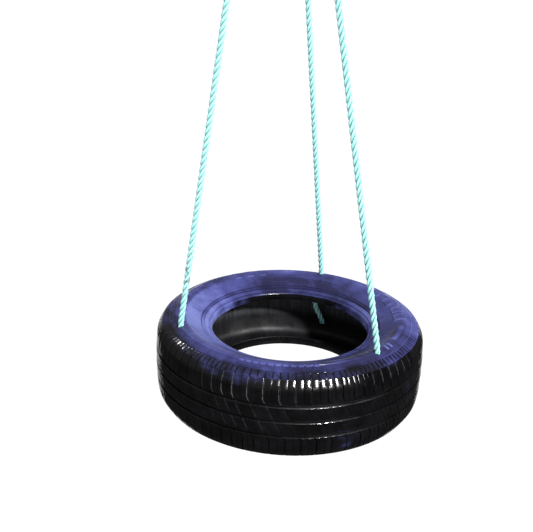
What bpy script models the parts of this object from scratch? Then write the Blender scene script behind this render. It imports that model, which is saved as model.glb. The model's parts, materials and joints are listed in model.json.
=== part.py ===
"""Tire swing: a car tyre lying flat, hung by three laid ropes from a swivel with a two-way pivot.

Metres, +Z up. The origin is the middle of the hanger plate's top face, which bolts under a beam,
so the whole swing hangs at negative z. The tyre hangs with its middle straight under the origin.
"""

import math

import bmesh
import bpy
from mathutils import Matrix, Vector

# Driving dimensions
TYRE_RADIUS = 0.3195
TYRE_DROP = 1.474
TYRE_TILT = math.radians(2.2)
ROPE_DIAMETER = 0.014
HOLE_CIRCLE = 0.2693
HOLE_BEARINGS = {"rear": 73.0, "left": 203.0, "right": 315.0}
LUG_BEARINGS = {"rear": 77.0, "left": 197.0, "right": 317.0}
TAIL_TURNS = {"rear": 1.0, "left": -1.0, "right": 0.9}
GAP = 0.0003

# Tyre section, upper half, as (radius, height over the middle plane)
OUTER_LINE = [
    (0.1866, 0.0560),
    (0.1878, 0.0728),
    (0.2040, 0.0806),
    (0.2250, 0.0915),
    (0.2380, 0.0984),
    (0.2483, 0.1034),
    (0.2650, 0.1085),
    (0.2840, 0.1012),
    (0.3045, 0.0902),
]
PLY_CROWN = 0.3018
BELT_CURVE = 0.020
INNER_LINE = [
    (0.1950, 0.0565),
    (0.2020, 0.0584),
    (0.2270, 0.0802),
    (0.2505, 0.0962),
    (0.2890, 0.0908),
    (0.2960, 0.0780),
    (PLY_CROWN, 0.0),
]
TREAD_LINE = [(0.3085, 0.0862), (0.3147, 0.0658), (0.3182, 0.0400), (TYRE_RADIUS, 0.0)]
PLY = 0.0016
TYRE_STEPS = 30
BEAD_CORE = (0.2011, 0.0684)
BEAD_CORE_RADIUS = 0.0037
BEAD_CORE_SIDES = 5
BELTS = {"belt_outer": (0.0062, 0.0078, 0.062), "belt_inner": (0.0043, 0.0059, 0.070)}

# Ropes
ROPE_RADIUS = ROPE_DIAMETER / 2
ROPE_HOLE_RADIUS = ROPE_RADIUS + 0.0020
HOLE_HEIGHT = 0.1036
WALL_SLOPE = math.radians(8.0)
WASHER_RADIUS = 0.0170
WASHER_BORE = 0.0105
WASHER_THICKNESS = 0.0030
WASHER_DEPTH = 0.0120
KNOT_RADIUS = 0.0170
KNOT_NECK = 0.0080
KNOT_LENGTH = 0.0280
KNOT_DEPTH = 0.0168
LEAVE_HEIGHT = 0.0080
BEND_LENGTH = 0.0200
BEND_STEPS = 4
ROPE_POINT_SPACING = 3 * ROPE_DIAMETER
TAIL_ROUTE = [
    (0.0, 0.0, 0.0),
    (0.0, 0.0, 0.0040),
    (0.0035, -0.0018, 0.0130),
    (0.0090, -0.0040, 0.0255),
    (0.0117, -0.0055, 0.0385),
    (0.0060, -0.0037, 0.0565),
    (-0.0027, -0.0010, 0.0755),
    (-0.0122, 0.0013, 0.0975),
]
SPLICE_START = 0.0510
SPLICE_LENGTH = 0.1100
SPLICE_TOP_RADIUS = 0.0152
SPLICE_SHOULDER = (0.0135, -0.0200)
SPLICE_FOOT_RADIUS = 0.0085
ROPE_STEPS = 12

# Hanger and swivel
PLATE_SIZE = (0.200, 0.100, 0.008)
PLATE_HOLE_X = 0.080
PLATE_HOLE_Y = 0.032
PLATE_HOLE_RADIUS = 0.0055
PIN_RADIUS = 0.0060
PIN_BORE = PIN_RADIUS + GAP
PIN_HEAD_RADIUS = 0.0098
PIN_HEAD = 0.0050
PIN_STAND_OUT = 0.0020
BOLT_STAND_OUT = 0.0040
LUG_RADIUS = 0.0140
UPPER_PIN_Z = -0.0380
LOWER_PIN_Z = -0.0680
BLOCK_WIDTH = 0.0300
BLOCK_RISE = 0.0140
BUSH_RADIUS = 0.0080
BUSH_FLANGE_RADIUS = 0.0110
BUSH_FLANGE = 0.0012
BUSH_LENGTH = 0.0125
CHEEK_INSIDE = BLOCK_WIDTH / 2 + BUSH_FLANGE + 2 * GAP
CHEEK_THICKNESS = 0.0070
CHEEK_OUTSIDE = CHEEK_INSIDE + CHEEK_THICKNESS
YOKE_WEB_TOP = -0.1100
YOKE_WEB = 0.0080
YOKE_WEB_WIDTH = 0.0380
RACE_RADIUS = 0.0150
RACE_THICKNESS = 0.0030
BALL_RADIUS = 0.0020
BALL_CIRCLE = 0.0107
BALL_COUNT = 8
CAGE_THICKNESS = 0.0014
CAGE_INSIDE = 0.0076
CAGE_OUTSIDE = 0.0138
HEAD_HEIGHT = 0.0090
NUT_HEIGHT = 0.0100
HEX_RADIUS = 0.0110
ROPE_NUT_HEIGHT = 0.0070
SWIVEL_CLEARANCE = 0.0020
CUT_PAST = 0.0100
LONG_CUT = 0.0400
ROPE_PLATE_TOP = YOKE_WEB_TOP - YOKE_WEB - SWIVEL_CLEARANCE
ROPE_PLATE = 0.0080
ROPE_PLATE_RADIUS = 0.0540
ROPE_PIN_CIRCLE = 0.0400
ROPE_PIN_DROP = 0.0340
ROPE_PIN_Z = ROPE_PLATE_TOP - ROPE_PLATE - ROPE_PIN_DROP
ROPE_LUG = 0.0050
THIMBLE_HALF_WIDTH = 0.0100
THIMBLE_RADIUS = 0.0245
GROOVE_RADIUS = 0.0085
EYE_RADIUS = 0.0216
EYE_ARC_START = math.radians(-20.0)
THROAT = ROPE_RADIUS + 0.0004
ARC_STEPS = 5
ROPE_LUG_INSIDE = THIMBLE_HALF_WIDTH + 0.0004
ROPE_LUG_OUTSIDE = ROPE_LUG_INSIDE + ROPE_LUG

ROUND_STEPS = 16
UP = Vector((0.0, 0.0, 1.0))

COLOURS = {
    "tread rubber": ((0.012, 0.012, 0.013), 0.45, 0.0),
    "sidewall rubber": ((0.060, 0.055, 0.180), 0.50, 0.0),
    "ply": ((0.035, 0.030, 0.028), 0.80, 0.0),
    "bead wire": ((0.450, 0.330, 0.180), 0.35, 1.0),
    "liner rubber": ((0.014, 0.014, 0.015), 0.55, 0.0),
    "rope": ((0.330, 0.740, 0.720), 0.55, 0.0),
    "galvanised": ((0.560, 0.580, 0.590), 0.42, 1.0),
    "zinc": ((0.690, 0.680, 0.640), 0.30, 1.0),
    "bearing steel": ((0.600, 0.600, 0.620), 0.18, 1.0),
    "bronze": ((0.550, 0.360, 0.160), 0.35, 1.0),
}


def clear_scene():
    for old in list(bpy.data.objects):
        bpy.data.objects.remove(old, do_unlink=True)


def new_collection(name):
    made = bpy.data.collections.new(name)
    bpy.context.scene.collection.children.link(made)
    return made


def make_material(name):
    colour, roughness, metallic = COLOURS[name]
    made = bpy.data.materials.new(name)
    made.use_nodes = True
    shader = made.node_tree.nodes["Principled BSDF"]
    shader.inputs["Base Color"].default_value = (*colour, 1.0)
    shader.inputs["Roughness"].default_value = roughness
    shader.inputs["Metallic"].default_value = metallic
    return made


clear_scene()
PARTS = new_collection("tire_swing")
CUTTERS = new_collection("cutters")
MATERIALS = {name: make_material(name) for name in COLOURS}


# Helpers


def finish(obj, material, parent):
    """Puts a part in the swing's collection, with its material and its joint's empty."""
    for holder in list(obj.users_collection):
        holder.objects.unlink(obj)
    PARTS.objects.link(obj)
    obj.data.materials.clear()
    obj.data.materials.append(MATERIALS[material])
    bpy.context.view_layer.update()
    obj.parent = parent
    obj.matrix_parent_inverse = parent.matrix_world.inverted()
    return obj


def guide(obj):
    """Marks an object as a cutter, or as a shape that only joins another."""
    for holder in list(obj.users_collection):
        holder.objects.unlink(obj)
    CUTTERS.objects.link(obj)
    obj.hide_render = True
    obj.display_type = "WIRE"
    return obj


def new_object(name, mesh, matrix=None):
    obj = bpy.data.objects.new(name, mesh)
    bpy.context.scene.collection.objects.link(obj)
    obj.matrix_world = matrix or Matrix.Identity(4)
    return obj


def empty(name, location, parent=None, rotation=(0.0, 0.0, 0.0)):
    obj = bpy.data.objects.new(name, None)
    PARTS.objects.link(obj)
    obj.location = location
    obj.rotation_euler = rotation
    bpy.context.view_layer.update()
    if parent is not None:
        obj.parent = parent
        obj.matrix_parent_inverse = parent.matrix_world.inverted()
        bpy.context.view_layer.update()
    return obj


def axes_matrix(origin, z_axis, x_hint):
    """A frame at origin with its Z along z_axis and its X as near x_hint as it can be."""
    z = Vector(z_axis).normalized()
    y = z.cross(Vector(x_hint)).normalized()
    x = y.cross(z)
    turn = Matrix((x, y, z)).transposed().to_4x4()
    return Matrix.Translation(origin) @ turn


def bmesh_to_mesh(name, shape):
    mesh = bpy.data.meshes.new(name)
    shape.to_mesh(mesh)
    shape.free()
    return mesh


def turned(name, profile, steps, matrix=None, closed=True):
    """A profile of (radius, height) points, turned about Z by a Screw modifier."""
    points = [(radius, 0.0, height) for radius, height in profile]
    edges = [(i, i + 1) for i in range(len(points) - 1)]
    if closed:
        edges.append((len(points) - 1, 0))
    mesh = bpy.data.meshes.new(name)
    mesh.from_pydata(points, edges, [])
    obj = new_object(name, mesh, matrix)
    screw = obj.modifiers.new("turn", "SCREW")
    screw.angle = 2 * math.pi
    screw.steps = steps
    screw.render_steps = steps
    screw.use_merge_vertices = True
    screw.merge_threshold = 0.00001
    return obj


def cylinder(name, radius, low, high, matrix=None, segments=ROUND_STEPS):
    """A closed cylinder along its frame's Z, from low to high."""
    shape = bmesh.new()
    middle = Matrix.Translation((0.0, 0.0, (low + high) / 2))
    bmesh.ops.create_cone(
        shape,
        cap_ends=True,
        segments=segments,
        radius1=radius,
        radius2=radius,
        depth=high - low,
        matrix=middle,
    )
    return new_object(name, bmesh_to_mesh(name, shape), matrix)


def box(name, low, high):
    shape = bmesh.new()
    middle = (Vector(low) + Vector(high)) / 2
    size = Vector(high) - Vector(low)
    place = Matrix.Translation(middle) @ Matrix.Diagonal((*size, 1.0))
    bmesh.ops.create_cube(shape, size=1.0, matrix=place)
    return new_object(name, bmesh_to_mesh(name, shape))


def tongue(name, matrix, rise, thickness, radius=LUG_RADIUS, arc_steps=8):
    """A flat lug with a round end about its frame's origin. Local X is across, local Y runs to its root."""
    outline = [(radius, rise), (-radius, rise)]
    for i in range(arc_steps + 1):
        angle = math.pi + math.pi * i / arc_steps
        outline.append((radius * math.cos(angle), radius * math.sin(angle)))
    curve = bpy.data.curves.new(name, "CURVE")
    curve.dimensions = "2D"
    curve.fill_mode = "BOTH"
    curve.extrude = thickness / 2
    line = curve.splines.new("POLY")
    line.points.add(len(outline) - 1)
    for point, (x, y) in zip(line.points, outline):
        point.co = (x, y, 0.0, 1.0)
    line.use_cyclic_u = True
    return as_mesh(new_object(name, curve, matrix))


def as_mesh(curve_object):
    """The curve as a welded mesh object in the same place, so that it can be cut and joined."""
    bpy.context.view_layer.update()
    graph = bpy.context.evaluated_depsgraph_get()
    mesh = bpy.data.meshes.new_from_object(curve_object.evaluated_get(graph))
    shape = bmesh.new()
    shape.from_mesh(mesh)
    bmesh.ops.remove_doubles(shape, verts=shape.verts, dist=0.00001)
    bmesh.ops.recalc_face_normals(shape, faces=shape.faces)
    shape.to_mesh(mesh)
    shape.free()
    name = curve_object.name
    place = curve_object.matrix_world.copy()
    bpy.data.objects.remove(curve_object, do_unlink=True)
    return new_object(name, mesh, place)


def join_with(obj, other):
    add_boolean(obj, guide(other), "UNION")


def cut_with(obj, other):
    add_boolean(obj, guide(other), "DIFFERENCE")


def add_boolean(obj, other, operation):
    boolean = obj.modifiers.new(operation.lower(), "BOOLEAN")
    boolean.operation = operation
    boolean.object = other
    boolean.solver = "EXACT"


def tube(name, points, radius, resolution=2):
    """A round tube along points, with filled ends."""
    curve = bpy.data.curves.new(name, "CURVE")
    curve.dimensions = "3D"
    curve.bevel_depth = radius
    curve.bevel_resolution = resolution
    curve.use_fill_caps = True
    line = curve.splines.new("POLY")
    line.points.add(len(points) - 1)
    for point, place in zip(line.points, points):
        point.co = (*place, 1.0)
    return new_object(name, curve)


def smooth_route(points, spacing):
    """Points at about that spacing on a Catmull-Rom curve through the given ones."""
    knots = [Vector(p) for p in points]
    knots = [2 * knots[0] - knots[1], *knots, 2 * knots[-1] - knots[-2]]
    made = []
    for before, start, end, after in zip(knots, knots[1:], knots[2:], knots[3:]):
        count = max(1, round((end - start).length / spacing))
        for i in range(count):
            t = i / count
            made.append(
                0.5
                * (
                    2 * start
                    + (end - before) * t
                    + (2 * before - 5 * start + 4 * end - after) * t * t
                    + (3 * start - before - 3 * end + after) * t * t * t
                )
            )
    made.append(knots[-2])
    return made


def offset_line(line, distance):
    """The line moved sideways by distance, to the left of its own direction of travel."""
    moved = []
    for i, (radius, height) in enumerate(line):
        before = line[max(i - 1, 0)]
        after = line[min(i + 1, len(line) - 1)]
        a = Vector((radius - before[0], height - before[1]))
        b = Vector((after[0] - radius, after[1] - height))
        a = a.normalized() if a.length > 0 else b.normalized()
        b = b.normalized() if b.length > 0 else a
        along = (a + b).normalized()
        stretch = distance / max(along.dot(a), 0.5)
        moved.append((radius - along.y * stretch, height + along.x * stretch))
    return moved


def mirrored(line):
    return [(radius, -height) for radius, height in reversed(line)]


# The tyre, in its own frame


def ply_section(first, low, high):
    """A layer that runs from bead to bead, between two distances outside the inner line."""
    line = INNER_LINE[first:]
    over = offset_line(line + mirrored(line)[1:], high)
    under = offset_line(line + mirrored(line)[1:], low)
    return over + under[::-1]


def belt_section(low, high, half_width):
    edge = PLY_CROWN - BELT_CURVE * half_width
    crown = [(edge, half_width), (PLY_CROWN, 0.0), (edge, -half_width)]
    return offset_line(crown, high) + offset_line(crown, low)[::-1]


def tread_section():
    """The tread's cap, over the belts and down on to the body ply at both shoulders."""
    outside = TREAD_LINE + mirrored(TREAD_LINE)[1:]
    over_belts = [(0.3088, 0.072), (0.3101, 0.0), (0.3088, -0.072)]
    upper = [(PLY_CROWN, 0.0788), (0.3050, 0.0745)]
    return outside + (upper + over_belts + mirrored(upper))[::-1]


def sidewall_section():
    """The rubber from bead toe to shoulder, with a pocket for the bead core and its filler."""
    ply_side = offset_line(INNER_LINE, 2 * PLY + 3 * GAP)
    pocket = [(0.2275, 0.0866), (0.2060, 0.0749), (0.1970, 0.0719), (0.1968, 0.0630)]
    shoulder = [(0.3072, 0.0866), (0.3008, 0.0796)]
    foot = [(0.1930, 0.0602), (0.1925, 0.0563)]
    return OUTER_LINE + shoulder + [ply_side[4], ply_side[3]] + pocket + foot


def filler_section():
    """The wedge between the bead core and the sidewall."""
    return [(0.2262, 0.0854), (0.2262, 0.0848), (0.2105, 0.0716), (0.2072, 0.0744)]


def core_section():
    points = []
    for i in range(BEAD_CORE_SIDES):
        angle = -2 * math.pi * i / BEAD_CORE_SIDES
        radius = BEAD_CORE[0] + BEAD_CORE_RADIUS * math.cos(angle)
        points.append((radius, BEAD_CORE[1] + BEAD_CORE_RADIUS * math.sin(angle)))
    return points


def hole_place(which):
    """The middle of a rope hole, half way through the sidewall, in the tyre's frame."""
    bearing = math.radians(HOLE_BEARINGS[which])
    return Vector((HOLE_CIRCLE * math.cos(bearing), HOLE_CIRCLE * math.sin(bearing), HOLE_HEIGHT))


def drill_rope_holes(obj, tyre):
    for which in HOLE_BEARINGS:
        middle = tyre @ hole_place(which)
        frame = axes_matrix(middle, tyre.to_3x3() @ UP, (1.0, 0.0, 0.0))
        cutter = cylinder(f"{obj.name}_drill_{which}", ROPE_HOLE_RADIUS, -LONG_CUT, LONG_CUT, frame)
        cut_with(obj, cutter)


def make_tyre(frame_empty):
    tyre = frame_empty.matrix_world.copy()
    upper = sidewall_section()
    sections = {
        "tread_band": (tread_section(), "tread rubber"),
        "belt_outer": (belt_section(*BELTS["belt_outer"]), "ply"),
        "belt_inner": (belt_section(*BELTS["belt_inner"]), "ply"),
        "body_ply": (ply_section(1, PLY + GAP, 2 * PLY + GAP), "ply"),
        "inner_liner": (ply_section(0, 0.0, PLY), "liner rubber"),
        "sidewall_upper": (upper, "sidewall rubber"),
        "sidewall_lower": (mirrored(upper), "tread rubber"),
        "bead_core_upper": (core_section(), "bead wire"),
        "bead_core_lower": (mirrored(core_section()), "bead wire"),
        "bead_filler_upper": (filler_section(), "ply"),
        "bead_filler_lower": (mirrored(filler_section()), "ply"),
    }
    for name, (section, material) in sections.items():
        obj = turned(name, section, TYRE_STEPS, tyre)
        finish(obj, material, frame_empty)
        if name in ("sidewall_upper", "body_ply", "inner_liner"):
            drill_rope_holes(obj, tyre)


# The ropes


def rope_pin_place(which):
    bearing = math.radians(LUG_BEARINGS[which])
    return Vector((ROPE_PIN_CIRCLE * math.cos(bearing), ROPE_PIN_CIRCLE * math.sin(bearing), ROPE_PIN_Z))


def pin_axis(which):
    bearing = math.radians(LUG_BEARINGS[which])
    return Vector((-math.sin(bearing), math.cos(bearing), 0.0))


def rope_run(which, tyre):
    """Where a rope leaves its hole, its direction from there to its pin, and the tyre's own up."""
    tyre_up = (tyre.to_3x3() @ UP).normalized()
    leaves = tyre @ hole_place(which) + tyre_up * LEAVE_HEIGHT
    direction = (rope_pin_place(which) - leaves).normalized()
    return leaves, direction, tyre_up


def rope_route(which, tyre):
    """From the knot's top, up through the hole, round a short bend and straight to the splice."""
    leaves, direction, tyre_up = rope_run(which, tyre)
    knot_top = tyre @ hole_place(which) - tyre_up * (KNOT_DEPTH - GAP)
    bend_start = leaves - tyre_up * BEND_LENGTH / 2
    bend_end = leaves + direction * BEND_LENGTH
    route = [knot_top]
    for i in range(BEND_STEPS + 1):
        t = i / BEND_STEPS
        route.append(bend_start * (1 - t) ** 2 + leaves * 2 * t * (1 - t) + bend_end * t * t)
    top = rope_pin_place(which) - direction * (SPLICE_START + SPLICE_LENGTH + GAP)
    count = round((top - bend_end).length / ROPE_POINT_SPACING)
    for i in range(1, count + 1):
        route.append(bend_end.lerp(top, i / count))
    return route


def eye_route(which, direction):
    """Up one side of the thimble, round its crown and down the other side to the splice."""
    centre = rope_pin_place(which)
    side = direction.cross(pin_axis(which)).normalized()
    half = [(-SPLICE_START + GAP, THROAT), (-0.0460, THROAT), (-0.0360, 0.0110), (-0.0240, 0.0172)]
    for i in range(ARC_STEPS + 1):
        angle = EYE_ARC_START + (math.pi / 2 - EYE_ARC_START) * i / ARC_STEPS
        half.append((EYE_RADIUS * math.sin(angle), EYE_RADIUS * math.cos(angle)))
    route = [centre + direction * rise + side * out for rise, out in half]
    route += [centre + direction * rise - side * out for rise, out in reversed(half[:-1])]
    return route


def knot_profile():
    half = KNOT_LENGTH / 2
    upper = [
        (0.0, half),
        (KNOT_NECK, half),
        (0.0140, half * 0.68),
        (KNOT_RADIUS, half * 0.15),
    ]
    return upper + mirrored(upper)


def thimble_profile():
    """Down the grooved outside, then up the bore."""
    lip = math.sqrt(GROOVE_RADIUS**2 - (THIMBLE_RADIUS - EYE_RADIUS) ** 2)
    reach = math.atan2(THIMBLE_RADIUS - EYE_RADIUS, lip)
    profile = [(PIN_BORE, THIMBLE_HALF_WIDTH), (THIMBLE_RADIUS, THIMBLE_HALF_WIDTH)]
    for i in range(ARC_STEPS + 1):
        angle = math.pi / 2 + reach - (math.pi + 2 * reach) * i / ARC_STEPS
        radius = EYE_RADIUS - GROOVE_RADIUS * math.cos(angle)
        profile.append((radius, GROOVE_RADIUS * math.sin(angle)))
    profile += [(THIMBLE_RADIUS, -THIMBLE_HALF_WIDTH), (PIN_BORE, -THIMBLE_HALF_WIDTH)]
    return profile


def make_rope_set(which, tyre, parent):
    leaves, direction, tyre_up = rope_run(which, tyre)
    pin = rope_pin_place(which)
    finish(tube(f"rope_{which}", rope_route(which, tyre), ROPE_RADIUS), "rope", parent)
    finish(tube(f"rope_eye_{which}", eye_route(which, direction), ROPE_RADIUS), "rope", parent)

    splice_frame = axes_matrix(pin - direction * SPLICE_START, direction, pin_axis(which))
    splice = [
        (0.0, 0.0),
        (SPLICE_TOP_RADIUS, 0.0),
        SPLICE_SHOULDER,
        (SPLICE_FOOT_RADIUS, -SPLICE_LENGTH),
        (0.0, -SPLICE_LENGTH),
    ]
    taper = turned(f"rope_splice_{which}", splice, ROPE_STEPS, splice_frame, closed=False)
    finish(taper, "rope", parent)

    thimble_frame = axes_matrix(pin, pin_axis(which), direction)
    thimble = turned(f"thimble_{which}", thimble_profile(), ROUND_STEPS, thimble_frame)
    finish(thimble, "galvanised", parent)
    make_rope_pin(which, thimble_frame, parent)

    hole = tyre @ hole_place(which)
    bearing = math.radians(HOLE_BEARINGS[which])
    outward = Vector((math.cos(bearing), math.sin(bearing), 0.0))
    wall_normal = tyre.to_3x3() @ (outward * math.sin(WALL_SLOPE) + UP * math.cos(WALL_SLOPE))
    washer_middle = hole - tyre_up * (WASHER_DEPTH / math.cos(WALL_SLOPE))
    washer_frame = axes_matrix(washer_middle, wall_normal, outward)
    washer = [
        (WASHER_BORE, 0.0),
        (WASHER_RADIUS, 0.0),
        (WASHER_RADIUS, -WASHER_THICKNESS),
        (WASHER_BORE, -WASHER_THICKNESS),
    ]
    finish(turned(f"load_washer_{which}", washer, ROUND_STEPS, washer_frame), "galvanised", parent)

    knot_middle = hole - tyre_up * (KNOT_DEPTH + KNOT_LENGTH / 2)
    knot_frame = axes_matrix(knot_middle, tyre_up, outward)
    knot = turned(f"stopper_knot_{which}", knot_profile(), ROPE_STEPS, knot_frame, closed=False)
    finish(knot, "rope", parent)

    knot_foot = hole - tyre_up * (KNOT_DEPTH + KNOT_LENGTH + GAP)
    tail = tube(f"rope_tail_{which}", tail_route(which, tyre, knot_foot), ROPE_RADIUS)
    finish(tail, "rope", parent)


def tail_route(which, tyre, start):
    """The slack end below a knot, as (along the tyre's rim, outward, down) from the knot's foot."""
    bearing = math.radians(HOLE_BEARINGS[which])
    turn = tyre.to_3x3()
    outward = turn @ Vector((math.cos(bearing), math.sin(bearing), 0.0))
    along = turn @ Vector((-math.sin(bearing), math.cos(bearing), 0.0))
    down = turn @ -UP
    points = [
        start + along * a * TAIL_TURNS[which] + outward * o + down * d for a, o, d in TAIL_ROUTE
    ]
    return smooth_route(points, ROPE_DIAMETER)


def make_rope_pin(which, frame, parent):
    """A shouldered pin through the two lugs and the thimble, with a nut on its far end."""
    start = -ROPE_LUG_OUTSIDE - GAP
    end = ROPE_LUG_OUTSIDE + GAP + ROPE_NUT_HEIGHT + PIN_STAND_OUT
    pin = turned(f"rope_pin_{which}", headed_pin(start, end), ROUND_STEPS, frame, closed=False)
    finish(pin, "zinc", parent)
    low = ROPE_LUG_OUTSIDE + GAP
    finish(hex_nut(f"rope_pin_nut_{which}", low, low + ROPE_NUT_HEIGHT, frame), "zinc", parent)


def headed_pin(start, end):
    """A round pin from its head's inner face at start to its far end."""
    return [
        (0.0, end),
        (PIN_RADIUS, end),
        (PIN_RADIUS, start),
        (PIN_HEAD_RADIUS, start),
        (PIN_HEAD_RADIUS, start - PIN_HEAD),
        (0.0, start - PIN_HEAD),
    ]


def hex_nut(name, low, high, frame):
    nut = cylinder(name, HEX_RADIUS, low, high, frame, segments=6)
    cut_with(nut, cylinder(f"{name}_bore", PIN_BORE, low - CUT_PAST, high + CUT_PAST, frame))
    return nut


# The hanger, its pivot and the swivel


def make_hanger(parent):
    half_x, half_y, thickness = (PLATE_SIZE[0] / 2, PLATE_SIZE[1] / 2, PLATE_SIZE[2])
    plate = box("hanger_plate", (-half_x, -half_y, -thickness), (half_x, half_y, 0.0))
    rise = -thickness / 2 - UPPER_PIN_Z
    middle = (CHEEK_INSIDE + CHEEK_OUTSIDE) / 2
    for side in (-1, 1):
        frame = axes_matrix((side * middle, 0.0, UPPER_PIN_Z), (1.0, 0.0, 0.0), (0.0, 1.0, 0.0))
        join_with(plate, tongue(f"hanger_lug_{side}", frame, rise, CHEEK_THICKNESS))
    across = axes_matrix((0.0, 0.0, UPPER_PIN_Z), (1.0, 0.0, 0.0), (0.0, 1.0, 0.0))
    cut_with(plate, cylinder("hanger_pin_bore", PIN_BORE, -LONG_CUT, LONG_CUT, across))
    for x in (-PLATE_HOLE_X, PLATE_HOLE_X):
        for y in (-PLATE_HOLE_Y, PLATE_HOLE_Y):
            place = Matrix.Translation((x, y, 0.0))
            cut_with(plate, cylinder("plate_hole", PLATE_HOLE_RADIUS, -LONG_CUT, CUT_PAST, place))
    finish(plate, "galvanised", parent)
    make_pivot_pin("upper", across, parent)


def make_pivot_pin(name, frame, parent):
    """A headed pin through both cheeks, with a nut on its far end."""
    start = -CHEEK_OUTSIDE - GAP
    end = CHEEK_OUTSIDE + GAP + NUT_HEIGHT + PIN_STAND_OUT
    pin = turned(f"{name}_pin", headed_pin(start, end), ROUND_STEPS, frame, closed=False)
    finish(pin, "zinc", parent)
    low = CHEEK_OUTSIDE + GAP
    finish(hex_nut(f"{name}_pin_nut", low, low + NUT_HEIGHT, frame), "zinc", parent)


def make_pivot_block(parent):
    half = BLOCK_WIDTH / 2
    low = (-half, -half, LOWER_PIN_Z - BLOCK_RISE)
    high = (half, half, UPPER_PIN_Z + BLOCK_RISE)
    block = box("pivot_block", low, high)
    along_x, along_y = (1.0, 0.0, 0.0), (0.0, 1.0, 0.0)
    for name, height, axis, hint in (
        ("upper", UPPER_PIN_Z, along_x, along_y),
        ("lower", LOWER_PIN_Z, along_y, along_x),
    ):
        frame = axes_matrix((0.0, 0.0, height), axis, hint)
        bore = cylinder(f"block_bore_{name}", BUSH_RADIUS + GAP, -LONG_CUT, LONG_CUT, frame)
        cut_with(block, bore)
        make_bushes(name, frame, parent)
    finish(block, "galvanised", parent)


def make_bushes(name, frame, parent):
    """Two flanged bushes, pressed into a bore from both ends."""
    face = BLOCK_WIDTH / 2 + GAP
    for side, ending in ((1, "a"), (-1, "b")):
        profile = [
            (PIN_BORE, side * (face + BUSH_FLANGE)),
            (BUSH_FLANGE_RADIUS, side * (face + BUSH_FLANGE)),
            (BUSH_FLANGE_RADIUS, side * face),
            (BUSH_RADIUS, side * face),
            (BUSH_RADIUS, side * (face - BUSH_LENGTH)),
            (PIN_BORE, side * (face - BUSH_LENGTH)),
        ]
        if side < 0:
            profile.reverse()
        bush = turned(f"{name}_bush_{ending}", profile, ROUND_STEPS, frame)
        finish(bush, "bronze", parent)


def make_yoke(parent):
    half = YOKE_WEB_WIDTH / 2
    low = (-half, -CHEEK_OUTSIDE, YOKE_WEB_TOP - YOKE_WEB)
    high = (half, CHEEK_OUTSIDE, YOKE_WEB_TOP)
    yoke = box("yoke", low, high)
    middle = (CHEEK_INSIDE + CHEEK_OUTSIDE) / 2
    rise = LOWER_PIN_Z - YOKE_WEB_TOP + YOKE_WEB / 2
    for side in (-1, 1):
        frame = axes_matrix((0.0, side * middle, LOWER_PIN_Z), (0.0, 1.0, 0.0), (1.0, 0.0, 0.0))
        join_with(yoke, tongue(f"yoke_arm_{side}", frame, rise, CHEEK_THICKNESS))
    across = axes_matrix((0.0, 0.0, LOWER_PIN_Z), (0.0, 1.0, 0.0), (1.0, 0.0, 0.0))
    cut_with(yoke, cylinder("yoke_pin_bore", PIN_BORE, -LONG_CUT, LONG_CUT, across))
    low_end = YOKE_WEB_TOP - YOKE_WEB - CUT_PAST
    cut_with(yoke, cylinder("yoke_swivel_bore", PIN_BORE + GAP, low_end, YOKE_WEB_TOP + CUT_PAST))
    finish(yoke, "galvanised", parent)
    make_pivot_pin("lower", across, parent)


def race_profile(low):
    """A flat bearing washer that stands on low."""
    return [
        (PIN_BORE + GAP, low + RACE_THICKNESS),
        (RACE_RADIUS, low + RACE_THICKNESS),
        (RACE_RADIUS, low),
        (PIN_BORE + GAP, low),
    ]


def make_bearing(yoke_parent, cage_parent, swing_parent):
    """A ball thrust bearing on the yoke's web. Returns the height of its top."""
    low = YOKE_WEB_TOP + GAP
    lower = turned("bearing_race_lower", race_profile(low), ROUND_STEPS)
    finish(lower, "bearing steel", yoke_parent)
    ball_z = low + RACE_THICKNESS + GAP + BALL_RADIUS
    shape = bmesh.new()
    for i in range(BALL_COUNT):
        angle = 2 * math.pi * i / BALL_COUNT
        place = (BALL_CIRCLE * math.cos(angle), BALL_CIRCLE * math.sin(angle), ball_z)
        bmesh.ops.create_uvsphere(
            shape, u_segments=6, v_segments=4, radius=BALL_RADIUS, matrix=Matrix.Translation(place)
        )
    balls = new_object("balls", bmesh_to_mesh("balls", shape))
    half = CAGE_THICKNESS / 2
    ring = [
        (CAGE_INSIDE, ball_z + half),
        (CAGE_OUTSIDE, ball_z + half),
        (CAGE_OUTSIDE, ball_z - half),
        (CAGE_INSIDE, ball_z - half),
    ]
    cage = turned("bearing_cage", ring, ROUND_STEPS)
    join_with(cage, balls)
    finish(cage, "bearing steel", cage_parent)
    upper_low = ball_z + BALL_RADIUS + GAP
    upper = turned("bearing_race_upper", race_profile(upper_low), ROUND_STEPS)
    finish(upper, "bearing steel", swing_parent)
    return upper_low + RACE_THICKNESS


def make_swivel_bolt(bearing_top, parent):
    head_low = bearing_top + GAP
    nut_high = ROPE_PLATE_TOP - ROPE_PLATE - GAP
    end = nut_high - NUT_HEIGHT - BOLT_STAND_OUT
    bolt = cylinder("swivel_bolt", HEX_RADIUS, head_low, head_low + HEAD_HEIGHT, segments=6)
    join_with(bolt, cylinder("swivel_shank", PIN_RADIUS, end, head_low + HEAD_HEIGHT / 2))
    finish(bolt, "zinc", parent)
    nut = hex_nut("swivel_nut", nut_high - NUT_HEIGHT, nut_high, Matrix.Identity(4))
    finish(nut, "zinc", parent)


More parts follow.
